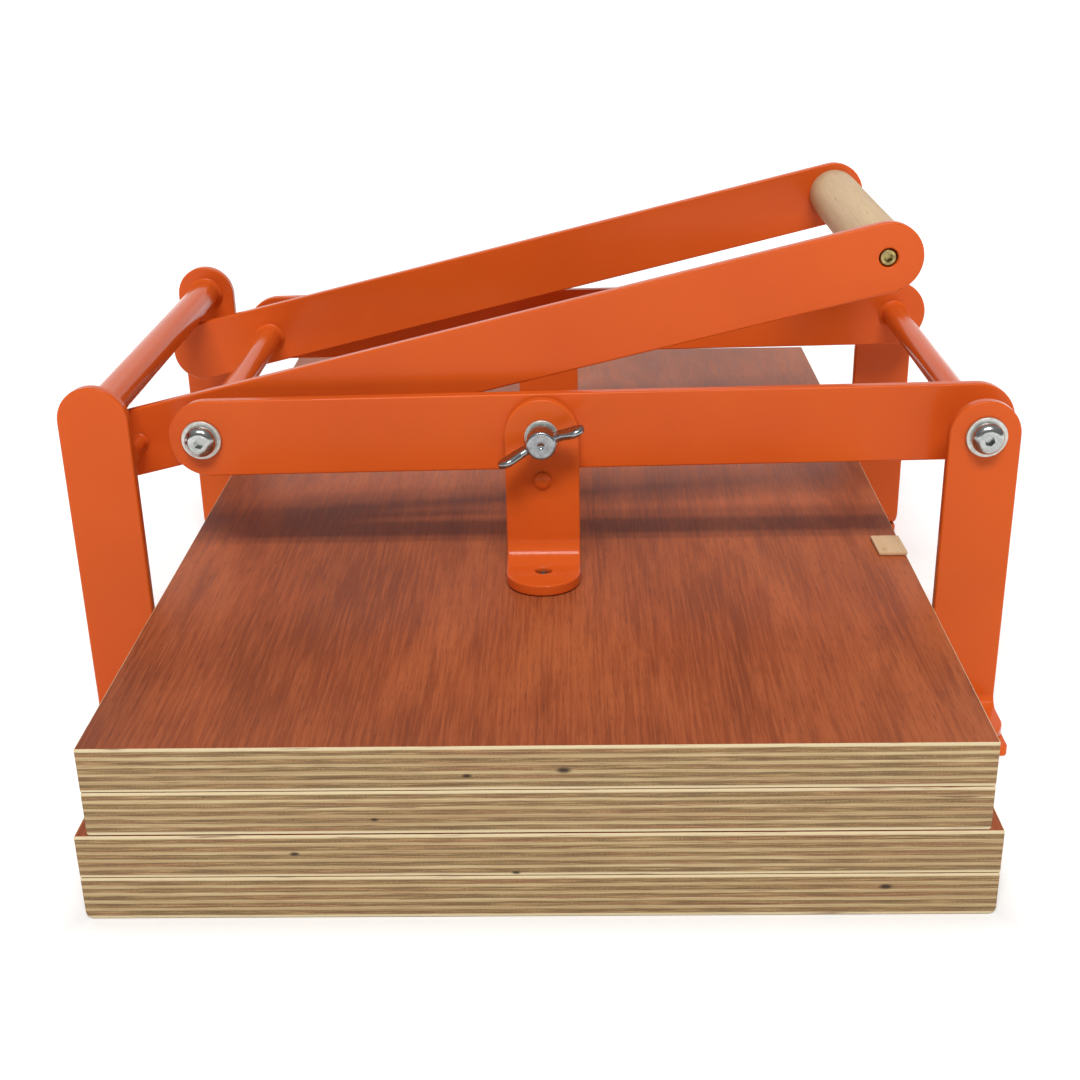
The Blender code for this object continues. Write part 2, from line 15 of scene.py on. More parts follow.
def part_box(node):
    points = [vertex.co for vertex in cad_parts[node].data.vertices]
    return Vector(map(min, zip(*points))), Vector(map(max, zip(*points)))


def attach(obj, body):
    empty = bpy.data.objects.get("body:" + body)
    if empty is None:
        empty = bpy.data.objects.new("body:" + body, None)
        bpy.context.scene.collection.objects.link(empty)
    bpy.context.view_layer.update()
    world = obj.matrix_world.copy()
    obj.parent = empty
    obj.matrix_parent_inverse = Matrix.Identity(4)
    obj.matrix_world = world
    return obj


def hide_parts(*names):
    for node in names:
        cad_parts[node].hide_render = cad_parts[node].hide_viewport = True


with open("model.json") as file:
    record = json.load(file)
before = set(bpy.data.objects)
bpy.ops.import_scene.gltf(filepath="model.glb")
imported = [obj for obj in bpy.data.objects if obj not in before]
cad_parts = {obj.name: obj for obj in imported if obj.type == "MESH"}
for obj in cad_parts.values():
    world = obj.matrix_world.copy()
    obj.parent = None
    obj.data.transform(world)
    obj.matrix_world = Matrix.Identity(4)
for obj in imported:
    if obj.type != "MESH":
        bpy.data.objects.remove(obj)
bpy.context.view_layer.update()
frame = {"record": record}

MM = 0.001
SIDES = {"front": -1, "rear": 1}
HANDS = ("left", "right")
BODY_OF = {node: body for body, nodes in frame["record"]["behaviour"]["bodies"].items() for node in nodes}

ARC_STEPS = 28
TURN_STEPS = 64
SMALL_TURN_STEPS = 40
CUP_STEPS = 32
DOWEL_STEPS = 96


# Places read from the frame


def axis_of(node):
    """Where a node's axis crosses the middle plane, as (x, z)."""
    low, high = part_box(node)
    return Vector(((low.x + high.x) / 2, (low.z + high.z) / 2))


def reach(node):
    """A node's nearest and farthest distance from the middle plane."""
    low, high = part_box(node)
    if low.y * high.y < 0:
        return 0.0, high.y
    return tuple(sorted((abs(low.y), abs(high.y))))


def radius_of(node):
    low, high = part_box(node)
    return (high.x - low.x) / 2


FULCRUM = axis_of("fulcrum_pin_front")
LEVER_PIVOT = axis_of("lever_pivot_rod")
RIGHT_PIVOT = axis_of("right_pivot_rod")
PLATEN_PIVOT = axis_of("clamp_stud_front")
HANDLE = axis_of("handle_dowel")
PLATEN_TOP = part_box("platen_upper_sheet")[1].z

GAP = 0.3 * MM  # between pieces that touch
FLAT_THICKNESS = 5 * MM
FLAT_RADIUS = 15 * MM
PRESSURE_BAR_RADIUS = 17 * MM
BAR_SETBACK = 2.5 * MM  # from the lever pivot back to the centre of the pressure bar's round end
UPRIGHT_BEND = 5 * MM  # inner radius
BRACKET_BEND = 10 * MM
BEND_STEPS = 14
FLAT_EDGE = 0.9 * MM  # eased edge of painted flat bar

# Holes, as radii
HOLE = 4.3 * MM
SLOT = 4.4 * MM
SLOT_TRAVEL = 4.25 * MM
PLATEN_HOLE = 4.6 * MM
HANDLE_HOLE = 4 * MM
FOOT_SCREW_HOLE = 3.3 * MM
STRAP_SCREW_HOLE = 4.7 * MM
BRACKET_SCREW_HOLE = 3.5 * MM
FULCRUM_BORE = 3.4 * MM

# Round pieces
BOLT_SHANK = 4 * MM
BOLT_HEAD_HEIGHT = 4.4 * MM
BOLT_SOCKET = 2.3 * MM
BOLT_BORE_DEPTH = 16 * MM
ROD_RADII = {"left_brace_rod": 7.5 * MM, "lever_pivot_rod": 6 * MM, "right_pivot_rod": 5.9 * MM}
WELD_FILLET = 4.2 * MM
WELD_RIPPLE = 0.09 * MM
STUD_PITCH = 1.25 * MM
WING_NUT_LENGTH = 12 * MM
WING_NUT_BOSS = 6.3 * MM
WING_NUT_FOOT = 5.8 * MM
WING_NUT_BORE = 4.2 * MM
WING_NUT_BORE_DEPTH = 9.8 * MM
WING_NUT_TILTS = {"front": math.radians(24.4), "rear": math.radians(205)}


# Mesh building


def arc(center, radius, start, end, steps=ARC_STEPS):
    """Points of a circular arc, angles in degrees."""
    angles = [math.radians(start + (end - start) * i / steps) for i in range(steps + 1)]
    return [Vector((center[0] + radius * math.cos(a), center[1] + radius * math.sin(a))) for a in angles]


def circle(center, radius, steps=TURN_STEPS):
    return arc(center, radius, 0, 360, steps)[:-1]


def capsule(start, end, radius):
    slope = math.degrees(math.atan2(end[1] - start[1], end[0] - start[0]))
    return arc(start, radius, slope + 90, slope + 270) + arc(end, radius, slope - 90, slope + 90)


def rounded_box(low, high, radii, inset, steps=8):
    """A rectangle's outline with a radius for each corner: low left, low right, high right, high left."""
    corners = [(low[0], low[1], 180), (high[0], low[1], 270), (high[0], high[1], 0), (low[0], high[1], 90)]
    points = []
    for (x, y, start), radius in zip(corners, radii):
        inner_x = 1 if x == low[0] else -1
        inner_y = 1 if y == low[1] else -1
        center = (x + inner_x * radius, y + inner_y * radius)
        points += arc(center, max(radius - inset, 0.01 * MM), start, start + 90, steps)
    return points


def eased_edge(thickness, edge, steps=4):
    """(inset, height) pairs up the side of a plate whose edges are rounded."""
    half = thickness / 2
    turns = [math.radians(90 * i / steps) for i in range(steps + 1)]
    low = [(edge * (1 - math.sin(t)), -half + edge * (1 - math.cos(t))) for t in turns]
    return low + [(inset, -height) for inset, height in reversed(low)]


def plate(outline, holes, thickness, edge):
    """A flat plate about z = 0, with rounded edges.

    outline(inset) gives the points of its outline, and each hole(inset) those of a hole grown by inset.
    """
    shape = bmesh.new()
    levels = eased_edge(thickness, edge)
    rims = {0: [], len(levels) - 1: []}
    for loop in (outline, *holes):
        rings = [
            [shape.verts.new((*point, height)) for point in loop(inset)] for inset, height in levels
        ]
        for low, high in zip(rings, rings[1:]):
            for i in range(len(low)):
                j = (i + 1) % len(low)
                shape.faces.new((low[i], low[j], high[j], high[i]))
        for level in rims:
            rims[level].append(rings[level])
    for loops in rims.values():
        edges = [
            shape.edges.get((vert, ring[(i + 1) % len(ring)]))
            for ring in loops
            for i, vert in enumerate(ring)
        ]
        bmesh.ops.triangle_fill(shape, use_beauty=True, edges=edges)
    bmesh.ops.recalc_face_normals(shape, faces=shape.faces)
    return shape


ON_AXIS = 1e-7


def turned(profile, steps=TURN_STEPS, ripple=None):
    """A profile of (radius, height) turned about Z. It starts and ends on the axis, or closes on itself."""
    shape = bmesh.new()
    rings = []
    for radius, height in profile:
        if radius < ON_AXIS:
            rings.append([shape.verts.new((0, 0, height))])
            continue
        ring = []
        for i in range(steps):
            angle = 2 * math.pi * i / steps
            r = radius + (ripple(angle, radius, height) if ripple else 0)
            ring.append(shape.verts.new((r * math.cos(angle), r * math.sin(angle), height)))
        rings.append(ring)
    closed = len(rings[0]) > 1
    pairs = list(zip(rings, rings[1:]))
    if closed:
        pairs.append((rings[-1], rings[0]))
    for a, b in pairs:
        for i in range(steps):
            j = (i + 1) % steps
            corners = dict.fromkeys((a[i % len(a)], a[j % len(a)], b[j % len(b)], b[i % len(b)]))
            if len(corners) > 2:
                shape.faces.new(list(corners))
    bmesh.ops.recalc_face_normals(shape, faces=shape.faces)
    return shape


def rounded(points, radius, steps=4):
    """A profile with its corners rounded, but for its first and last points."""
    path = [Vector(point) for point in points]
    made = [path[0]]
    most = 0.45  # of a straight run that one corner may take
    for before, corner, after in zip(path, path[1:], path[2:]):
        back = before - corner
        ahead = after - corner
        start = corner + back.normalized() * min(radius, back.length * most)
        end = corner + ahead.normalized() * min(radius, ahead.length * most)
        for i in range(steps + 1):
            t = i / steps
            made.append((1 - t) ** 2 * start + 2 * t * (1 - t) * corner + t * t * end)
    made.append(path[-1])
    return [tuple(point) for point in made]


def upright_plane(shape, y):
    """Turns a plate in X and Y upright, into X and Z, at the given y."""
    shape.transform(Matrix.Translation((0, y, 0)) @ Matrix.Rotation(math.pi / 2, 4, "X"))
    return shape


def along_y(shape, center, side):
    """Lays a turned piece's axis along Y through center, as (x, z), its high end away from the middle."""
    place = Matrix.Translation((center.x, 0, center.y))
    shape.transform(place @ Matrix.Rotation(-side * math.pi / 2, 4, "X"))
    return shape


def moved(shape, x, y, z):
    shape.transform(Matrix.Translation((x, y, z)))
    return shape


def to_object(shape, name):
    mesh = bpy.data.meshes.new(name)
    bmesh.ops.recalc_face_normals(shape, faces=shape.faces)
    shape.to_mesh(mesh)
    shape.free()
    obj = bpy.data.objects.new(name, mesh)
    bpy.context.scene.collection.objects.link(obj)
    return obj


def applied(obj):
    """Makes an object's modifiers part of its mesh."""
    bpy.context.view_layer.update()
    graph = bpy.context.evaluated_depsgraph_get()
    mesh = bpy.data.meshes.new_from_object(obj.evaluated_get(graph))
    obj.modifiers.clear()
    obj.data = mesh
    return obj


def carved(shape, cutters, name, operation="DIFFERENCE"):
    """The shape after a Boolean with each cutter, as a bmesh again."""
    obj = to_object(shape, name)
    others = [to_object(cutter, f"{name}_cutter") for cutter in cutters]
    for other in others:
        modifier = obj.modifiers.new("cut", "BOOLEAN")
        modifier.operation = operation
        modifier.solver = "EXACT"
        modifier.object = other
    applied(obj)
    made = bmesh.new()
    made.from_mesh(obj.data)
    for used in (obj, *others):
        bpy.data.objects.remove(used)
    return made


def block(low, high):
    shape = bmesh.new()
    bmesh.ops.create_cube(shape, size=1)
    size = Vector(high) - Vector(low)
    bmesh.ops.scale(shape, vec=size, verts=shape.verts)
    bmesh.ops.translate(shape, vec=(Vector(high) + Vector(low)) / 2, verts=shape.verts)
    return shape


def hexagon(radius, low, high, turn=0.0):
    """A six-sided prism standing on Z, the cutter of a hexagon socket."""
    shape = bmesh.new()
    depth = high - low
    bmesh.ops.create_cone(shape, cap_ends=True, segments=6, radius1=radius, radius2=radius, depth=depth)
    shape.transform(Matrix.Translation((0, 0, (low + high) / 2)) @ Matrix.Rotation(turn, 4, "Z"))
    return shape


def dome(low_radius, radius, seat, height, edge, steps):
    """The profile of a button head's top, from its flat middle out to its rim."""
    turns = [math.radians(90 * i / steps) for i in range(steps + 1)]
    return [
        (
            low_radius + (radius - low_radius) * math.sin(t),
            seat + edge * height + (1 - edge) * height * math.cos(t),
        )
        for t in turns
    ]


def piece(shape, node, material, crease=None):
    """Puts a finished shape in a frame node's place.

    crease is the angle, in degrees, over which an edge is sharp. Without it the flat faces are kept flat.
    """
    obj = to_object(shape, f"{node}_look")
    obj.data.materials.append(material)
    obj.data.shade_smooth()
    if crease:
        obj.data.set_sharp_from_angle(angle=math.radians(crease))
    else:
        normals = obj.modifiers.new("flat faces stay flat", "WEIGHTED_NORMAL")
        normals.keep_sharp = True
        normals.weight = 80
    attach(obj, BODY_OF[node])
    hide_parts(node)


# Materials


class Nodes:
    """Builds a material's node tree with one call for each node."""

    def __init__(self, name, **settings):
        self.material = bpy.data.materials.new(name)
        self.material.use_nodes = True
        self.tree = self.material.node_tree
        self.shader = self.tree.nodes["Principled BSDF"]
        for socket, value in settings.items():
            self.shader.inputs[socket.replace("_", " ")].default_value = value

    def add(self, kind, settings=None, **inputs):
        made = self.tree.nodes.new(kind)
        for key, value in (settings or {}).items():
            setattr(made, key, value)
        for key, value in inputs.items():
            self.set(made.inputs[key.replace("_", " ")], value)
        return made

    def set(self, socket, value):
        if isinstance(value, bpy.types.NodeSocket):
            self.tree.links.new(value, socket)
        else:
            socket.default_value = value

    def math(self, operation, *values, clamp=False):
        made = self.add("ShaderNodeMath", {"operation": operation, "use_clamp": clamp})
        for socket, value in zip(made.inputs, values):
            self.set(socket, value)
        return made.outputs[0]

    def times(self, a, b):
        return self.math("MULTIPLY", a, b)

    def minus(self, a, b):
        return self.math("SUBTRACT", a, b)

    def place(self):
        """The point in the row frame, as one vector and as its three numbers."""
        point = self.add("ShaderNodeTexCoord").outputs["Object"]
        split = self.add("ShaderNodeSeparateXYZ", Vector=point)
        return point, split.outputs["X"], split.outputs["Y"], split.outputs["Z"]

    def vector(self, x, y, z):
        return self.add("ShaderNodeCombineXYZ", X=x, Y=y, Z=z).outputs[0]

    def stretched(self, point, scale):
        """Points scaled by a number for each direction, for a grain that runs one way."""
        made = self.add("ShaderNodeVectorMath", {"operation": "MULTIPLY"})
        self.set(made.inputs[0], point)
        made.inputs[1].default_value = scale
        return made.outputs[0]

    def noise(self, point, scale=1.0, detail=3.0, roughness=0.5, distortion=0.0):
        made = self.add(
            "ShaderNodeTexNoise",
            Vector=point,
            Scale=scale,
            Detail=detail,
            Roughness=roughness,
            Distortion=distortion,
        )
        return made.outputs["Fac"]

    def ramp(self, factor, stops):
        """A colour ramp from (position, colour or grey) pairs."""
        made = self.add("ShaderNodeValToRGB", Fac=factor)
        elements = made.color_ramp.elements
        while len(elements) < len(stops):
            elements.new(1.0)
        for element, (position, value) in zip(elements, stops):
            element.position = position
            element.color = (*value, 1) if isinstance(value, tuple) else (value, value, value, 1)
        return made.outputs["Color"]

    def spread(self, factor, low, high, to_low=0.0, to_high=1.0):
        """Maps the numbers from low to high onto those from to_low to to_high."""
        made = self.add(
            "ShaderNodeMapRange", Value=factor, From_Min=low, From_Max=high, To_Min=to_low, To_Max=to_high
        )
        return made.outputs[0]

    def mix(self, factor, a, b):
        made = self.add("ShaderNodeMix", {"data_type": "RGBA"})
        self.set(made.inputs["Factor"], factor)
        a_socket, b_socket = [s for s in made.inputs if s.type == "RGBA"]
        self.set(a_socket, (*a, 1) if isinstance(a, tuple) else a)
        self.set(b_socket, (*b, 1) if isinstance(b, tuple) else b)
        return [s for s in made.outputs if s.type == "RGBA"][0]

    def bump(self, height, strength, distance):
        return self.add("ShaderNodeBump", Height=height, Strength=strength, Distance=distance).outputs[0]

    def finish(self, **inputs):
        for key, value in inputs.items():
            self.set(self.shader.inputs[key.replace("_", " ")], value)
        return self.material


def orange_paint():
    """Smooth powder coat with a slight orange peel and a few fine specks."""
    n = Nodes("orange_paint", Specular_IOR_Level=0.13)
    point, _, _, _ = n.place()
    cloud = n.noise(point, 14, 2)
    patches = n.noise(point, 60, 4, 0.6)
    tone = n.mix(n.spread(cloud, 0.3, 0.7), (0.60, 0.089, 0.013), (0.65, 0.103, 0.014))
    specks = n.spread(n.noise(point, 2600, 2), 0.74, 0.8, 0.0, 0.5)
    color = n.mix(specks, tone, (0.45, 0.055, 0.002))
    peel = n.noise(point, 420, 2, 0.4)
    height = n.math("ADD", n.times(peel, 0.6), n.times(patches, 0.6))
    rough = n.spread(patches, 0.3, 0.7, 0.13, 0.2)
    return n.finish(Base_Color=color, Roughness=rough, Normal=n.bump(height, 0.3, 0.05 * MM))


PLY_COUNT = 11  # in a sheet
PALE_PLY = 1.44  # relative thickness
DARK_PLY = 1.87
PLY_WAVE = 0.42 * MM  # how far a ply strays from straight

VENEER_STOPS = [(0.36, (0.225, 0.048, 0.013)), (0.5, (0.325, 0.071, 0.019)), (0.62, (0.40, 0.097, 0.028))]
VENEER_FLAME = (0.20, 0.040, 0.012)
VENEER_PALE_GRAIN = (0.46, 0.122, 0.040)
VENEER_DARK_GRAIN = (0.19, 0.040, 0.013)
VENEER_PORE = (0.12, 0.028, 0.011)

PALE_STOPS = [(0.34, (0.60, 0.455, 0.25)), (0.5, (0.47, 0.335, 0.165)), (0.66, (0.41, 0.265, 0.13))]
PALE_GRAIN = (0.34, 0.22, 0.105)
PALE_FIBER = (0.33, 0.20, 0.09)
OUTER_PLY = (0.66, 0.53, 0.32)
BROWN_STOPS = [(0.36, (0.19, 0.115, 0.042)), (0.5, (0.28, 0.17, 0.066)), (0.64, (0.30, 0.125, 0.055))]
BROWN_PALE_GRAIN = (0.37, 0.25, 0.115)
BROWN_DARK_GRAIN = (0.11, 0.058, 0.024)
BROWN_DARK_FIBER = (0.13, 0.072, 0.030)
BROWN_PALE_FIBER = (0.46, 0.30, 0.14)
STAIN = (0.15, 0.060, 0.026)
GLUE = (0.16, 0.085, 0.038)
KNOT = (0.022, 0.009, 0.004)


def ply_bands():
    """The stops of a ramp that is 0 on the pale plies and 1 on the dark ones, over one sheet's thickness."""
    total = PALE_PLY * (PLY_COUNT + 1) / 2 + DARK_PLY * (PLY_COUNT - 1) / 2
    blur = 0.13
    stops = [(0.0, 0.0)]
    height = 0.0
    for i in range(PLY_COUNT - 1):
        dark = i % 2
        height += DARK_PLY if dark else PALE_PLY
        stops.append(((height - blur) / total, float(dark)))
        stops.append(((height + blur) / total, float(1 - dark)))
    return stops


def veneer(n, point):
    """The reddish face veneer, its grain along Y: colour, grain and pores."""
    broad = n.noise(n.stretched(point, (16, 5, 1)), 1.0, 4, 0.6, 0.8)
    flame = n.noise(n.stretched(point, (60, 9, 1)), 1.0, 5, 0.65, 0.5)
    grain = n.noise(n.stretched(point, (800, 22, 1)), 1.0, 4, 0.65)
    pores = n.noise(n.stretched(point, (2200, 110, 1)), 1.0, 2, 0.5)
    face = n.ramp(broad, VENEER_STOPS)
    face = n.mix(n.spread(flame, 0.46, 0.66, 0.0, 0.7), face, VENEER_FLAME)
    face = n.mix(n.spread(grain, 0.45, 0.66, 0.0, 0.5), face, VENEER_PALE_GRAIN)
    face = n.mix(n.spread(grain, 0.5, 0.34, 0.0, 0.4), face, VENEER_DARK_GRAIN)
    face = n.mix(n.spread(pores, 0.58, 0.72, 0.0, 0.6), face, VENEER_PORE)
    return face, grain, pores


def plywood(name, bottom, sheet, knots):
    """Face veneer above and below, and each sheet's alternating plies on the sides, with small knots."""
    n = Nodes(name, Specular_IOR_Level=0.3)
    point, x, y, z = n.place()
    along = n.math("ADD", x, y)

    def ply_noise(along_scale, height_scale, shift, detail=3, roughness=0.6):
        """Noise drawn out along the plies."""
        place = n.vector(n.times(along, along_scale), n.times(z, height_scale), shift)
        return n.noise(place, 1.0, detail, roughness)

    def sheet_level(height):
        """A height as a share of its sheet's thickness."""
        return n.math("FRACT", n.math("DIVIDE", n.minus(height, bottom), sheet))

    wave = n.spread(ply_noise(18.0, 260.0, 0.0), 0.2, 0.8, -PLY_WAVE, PLY_WAVE)
    straight = sheet_level(z)
    outer = n.ramp(straight, [(0.0, 1.0), (0.05, 1.0), (0.09, 0.0), (0.91, 0.0), (0.95, 1.0), (1.0, 1.0)])
    level = n.mix(outer, sheet_level(n.math("ADD", z, wave)), straight)
    dark = n.ramp(level, ply_bands())
    fibers = ply_noise(45.0, 1900.0, 5.0, 4, 0.65)
    long_grain = ply_noise(60.0, 4200.0, 0.0)
    end_grain = ply_noise(1300.0, 2400.0, 0.0, 2)

    pale = n.ramp(ply_noise(9.0, 560.0, 3.0), PALE_STOPS)
    pale = n.mix(n.spread(long_grain, 0.4, 0.75, 0.0, 0.5), pale, PALE_GRAIN)
    pale = n.mix(n.spread(fibers, 0.5, 0.62, 0.0, 0.6), pale, PALE_FIBER)
    pale = n.mix(outer, pale, OUTER_PLY)
    brown = n.ramp(ply_noise(13.0, 520.0, 11.0), BROWN_STOPS)
    brown = n.mix(n.spread(end_grain, 0.42, 0.68, 0.0, 0.6), brown, BROWN_PALE_GRAIN)
    brown = n.mix(n.spread(end_grain, 0.5, 0.3, 0.0, 0.55), brown, BROWN_DARK_GRAIN)
    brown = n.mix(n.spread(fibers, 0.47, 0.6, 0.0, 0.7), brown, BROWN_DARK_FIBER)
    brown = n.mix(n.spread(fibers, 0.45, 0.36, 0.0, 0.8), brown, BROWN_PALE_FIBER)

    edge = n.mix(dark, pale, brown)
    edge = n.mix(n.spread(ply_noise(26.0, 640.0, 7.0), 0.6, 0.7, 0.0, 0.75), edge, STAIN)
    glue = n.math("MULTIPLY", n.times(dark, n.minus(1.0, dark)), 1.6, clamp=True)
    edge = n.mix(glue, edge, GLUE)
    for knot_x, knot_z, size in knots:
        across = n.math("DIVIDE", n.minus(x, knot_x), size)
        up = n.math("DIVIDE", n.minus(z, knot_z), size * 0.45)
        far = n.math("SQRT", n.math("ADD", n.times(across, across), n.times(up, up)))
        edge = n.mix(n.spread(far, 1.3, 0.5, 0.0, 0.92), edge, KNOT)

    face, grain, pores = veneer(n, point)
    normal = n.add("ShaderNodeTexCoord").outputs["Normal"]
    facing = n.add("ShaderNodeSeparateXYZ", Vector=normal).outputs["Z"]
    level_face = n.spread(n.math("ABSOLUTE", facing), 0.93, 0.98)
    face_height = n.minus(n.times(grain, 0.6), n.times(pores, 0.5))
    edge_height = n.minus(n.times(end_grain, 0.5), n.times(dark, 0.35))
    height = n.mix(level_face, edge_height, face_height)
    rough = n.spread(n.mix(level_face, end_grain, grain), 0.2, 0.8, 0.42, 0.62)
    color = n.mix(level_face, edge, face)
    return n.finish(Base_Color=color, Roughness=rough, Normal=n.bump(height, 0.5, 0.12 * MM))


def beech():
    """Bare pale wood, its grain along Y, with the short dark flecks of beech."""
    n = Nodes("beech")
    point, _, _, _ = n.place()
    rings = n.noise(n.stretched(point, (120, 5, 120)), 1.0, 4, 0.6, 0.3)
    fiber = n.noise(n.stretched(point, (1500, 40, 1500)), 1.0, 3, 0.6)
    flecks = n.noise(n.stretched(point, (1100, 160, 1100)), 1.0, 2, 0.5)
    stops = [(0.3, (0.52, 0.33, 0.165)), (0.55, (0.62, 0.42, 0.225)), (0.75, (0.68, 0.48, 0.275))]
    color = n.ramp(rings, stops)
    color = n.mix(n.spread(fiber, 0.4, 0.7, 0.0, 0.4), color, (0.74, 0.55, 0.34))
    color = n.mix(n.spread(flecks, 0.64, 0.74, 0.0, 0.55), color, (0.33, 0.19, 0.085))
    height = n.minus(fiber, n.times(flecks, 0.6))
    rough = n.spread(rings, 0.2, 0.8, 0.5, 0.66)
    return n.finish(Base_Color=color, Roughness=rough, Normal=n.bump(height, 0.45, 0.1 * MM))


def metal(name, bright, dull, low_rough, high_rough):
    """Plated or bare metal with soft blotches and fine handling marks."""
    n = Nodes(name, Metallic=1.0)
    point, _, _, _ = n.place()
    blotch = n.noise(point, 420, 4, 0.6)
    marks = n.noise(n.stretched(point, (2600, 600, 2600)), 1.0, 3, 0.7)
    color = n.mix(n.spread(blotch, 0.35, 0.7), bright, dull)
    dull_spots = n.spread(blotch, 0.3, 0.7, low_rough, high_rough)
    rough = n.math("ADD", dull_spots, n.spread(marks, 0.55, 0.8, 0.0, 0.12))
    return n.finish(Base_Color=color, Roughness=rough, Normal=n.bump(marks, 0.12, 0.03 * MM))


# Each knot's x, z and half width
BASE_KNOTS = (
    (-7.5 * MM, 19.4 * MM, 1.6 * MM),
    (127 * MM, 12.3 * MM, 2.4 * MM),
    (-88 * MM, 28 * MM, 1.8 * MM),
)
PLATEN_KNOTS = (
    (10.4 * MM, 62.5 * MM, 2.6 * MM),
    (-58 * MM, 42.5 * MM, 1.5 * MM),
    (-24 * MM, 60.5 * MM, 1.8 * MM),
)
ORANGE = orange_paint()
BASE_PLY = plywood("base_plywood", 0.0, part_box("base_upper_sheet")[1].z / 2, BASE_KNOTS)
PLATEN_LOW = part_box("platen_lower_sheet")[0].z
PLATEN_PLY = plywood("platen_plywood", PLATEN_LOW, (PLATEN_TOP - PLATEN_LOW) / 2, PLATEN_KNOTS)
BEECH = beech()
ZINC = metal("zinc_plate", (0.50, 0.51, 0.49), (0.34, 0.35, 0.34), 0.16, 0.27)
SATIN_ZINC = metal("satin_zinc", (0.72, 0.72, 0.67), (0.56, 0.56, 0.52), 0.42, 0.55)
CAST_ZINC = metal("cast_zinc", (0.38, 0.40, 0.41), (0.26, 0.28, 0.29), 0.2, 0.32)
BRASS = metal("dull_brass", (0.42, 0.33, 0.12), (0.20, 0.16, 0.08), 0.25, 0.4)


# Boards


BOARD_EDGE = 0.5 * MM


def board(node, bottom_radius, material, cutters=()):
    """One plywood sheet, the radius of its lower long edges given."""
    low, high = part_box(node)
    radii = (bottom_radius, bottom_radius, BOARD_EDGE, BOARD_EDGE)

    def outline(inset):
        return rounded_box((low.x, low.z), (high.x, high.z), radii, inset)

    shape = plate(outline, [], high.y - low.y, 0.4 * MM)
    upright_plane(shape, (low.y + high.y) / 2)
    if cutters:
        shape = carved(shape, cutters, node)
    piece(shape, node, material, crease=28)


def boards():
    margin = Vector((20 * MM, GAP, GAP))
    grooves = []
    for side in SIDES:
        low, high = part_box(f"cross_strap_{side}")
        grooves.append(block(low - margin, high + margin))
    board("base_lower_sheet", 3 * MM, BASE_PLY, grooves)
    board("base_upper_sheet", BOARD_EDGE, BASE_PLY)
    board("platen_lower_sheet", 1.2 * MM, PLATEN_PLY)
    board("platen_upper_sheet", BOARD_EDGE, PLATEN_PLY)


def edge_tab():
    """A thin slip of wood, cut slightly askew."""
    low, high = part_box("edge_tab")
    skew = 0.5 * MM
    middle = (low.y + high.y) / 2

    def outline(inset):
        points = rounded_box((low.x, low.y), (high.x, high.y), [0.8 * MM] * 4, inset)
        return [Vector((p.x - skew * (p.y - middle) / (high.y - low.y), p.y)) for p in points]

    tab = moved(plate(outline, [], high.z - low.z, 0.25 * MM), 0, 0, (low.z + high.z) / 2)
    piece(tab, "edge_tab", BEECH, crease=40)


# Flat bar


def round_hole(center, radius):
    return lambda inset: circle(center, radius + inset)


def flat_bar(node, start, end, radius, holes):
    near, far = reach(node)
    side = -1 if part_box(node)[0].y < 0 else 1

    def outline(inset):
        return capsule(start, end, radius - inset)

    shape = plate(outline, holes, far - near, FLAT_EDGE)
    upright_plane(shape, side * (near + far) / 2)
    piece(shape, node, ORANGE)


def linkage_bars():
    along = (LEVER_PIVOT - RIGHT_PIVOT).normalized()
    slot_end = LEVER_PIVOT + SLOT_TRAVEL * along
    arm_along = (HANDLE - FULCRUM).normalized()
    for side in SIDES:
        holes = [
            lambda inset: capsule(slot_end, LEVER_PIVOT, SLOT + inset),
            round_hole(RIGHT_PIVOT, HOLE),
            round_hole(PLATEN_PIVOT, HOLE),
        ]
        start = LEVER_PIVOT - BAR_SETBACK * along
        flat_bar(f"pressure_bar_{side}", start, RIGHT_PIVOT, PRESSURE_BAR_RADIUS, holes)
        holes = [round_hole(LEVER_PIVOT, HOLE), round_hole(HANDLE, HANDLE_HOLE)]
        arm_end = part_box(f"lever_arm_{side}")[0].x + FLAT_RADIUS
        start = FULCRUM + arm_along * (arm_end - FULCRUM.x) / arm_along.x
        flat_bar(f"lever_arm_{side}", start, HANDLE, FLAT_RADIUS, holes)


